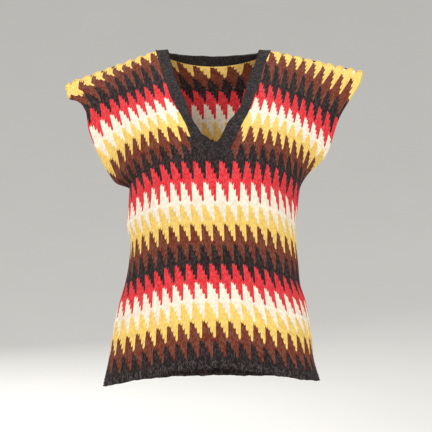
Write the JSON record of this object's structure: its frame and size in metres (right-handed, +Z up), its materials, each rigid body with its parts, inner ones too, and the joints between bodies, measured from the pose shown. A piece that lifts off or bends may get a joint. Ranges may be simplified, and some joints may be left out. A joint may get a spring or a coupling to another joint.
{
  "type": "sleeveless knitted pullover",
  "caption": "Hollow sleeveless pullover of knitted wool, with a V neck, a plain neckband and jagged stripes, filled out as if it were worn.",
  "frame": {"origin": "midway between the neck ends of the two shoulder seams, where a wearer's or a hanger's shoulders hold the garment up", "axes": "+X to the wearer's left, +Y from front to back, +Z up"},
  "size_m": [0.4909, 0.2187, 0.5584],
  "materials": {
    "flame_knit": "matt knitted wool in jagged stripes of charcoal, red, cream, yellow and brown",
    "charcoal_knit": "matt plain knitted wool"
  },
  "bodies": {
    "root": {"front_panel": "flame_knit", "back_panel": "flame_knit", "neckband": "charcoal_knit"}
  },
  "joints": []
}
